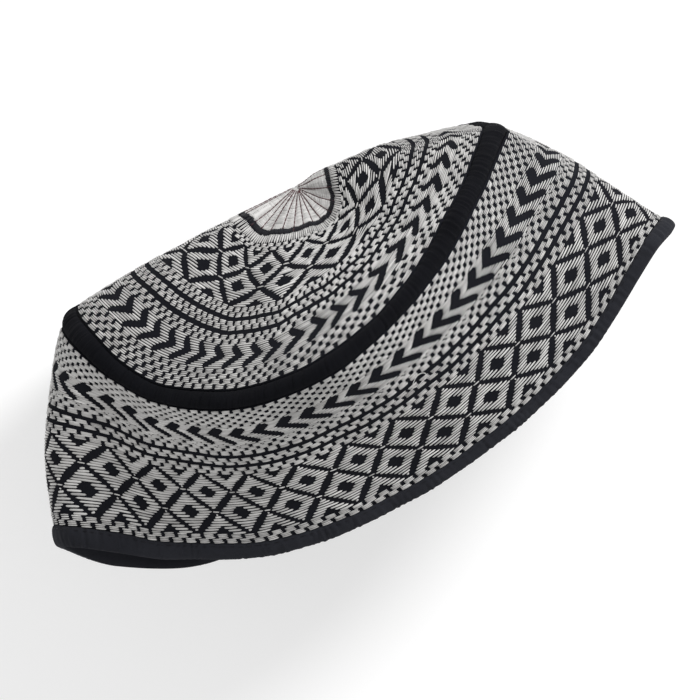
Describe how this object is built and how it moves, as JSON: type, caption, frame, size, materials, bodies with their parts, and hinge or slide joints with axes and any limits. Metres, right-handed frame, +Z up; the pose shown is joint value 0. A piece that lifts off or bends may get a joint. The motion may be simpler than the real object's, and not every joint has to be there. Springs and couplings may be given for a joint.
{
  "type": "kufi",
  "caption": "Round brimless cloth cap with an embroidered crown and tall side band, lying on its side partly folded, mouth open.",
  "frame": {"origin": "middle of the footprint, on the surface the cap lies on", "axes": "+X towards the right end of the mouth and along the longest side, -Y the way the mouth opens, +Y the way the crown faces, +Z up"},
  "size_m": [0.2365, 0.1134, 0.1358],
  "materials": {
    "silver_thread": "raised satin stitch in silver-grey thread",
    "black_cloth": "matte woven cloth, covered with machine embroidery",
    "black_tape": "matte corded tape"
  },
  "bodies": {
    "root": {"crown_medallion": "silver_thread", "crown_cloth": "black_cloth", "crown_piping": "black_tape", "side_band": "black_cloth", "rim_binding": "black_tape"}
  },
  "joints": []
}
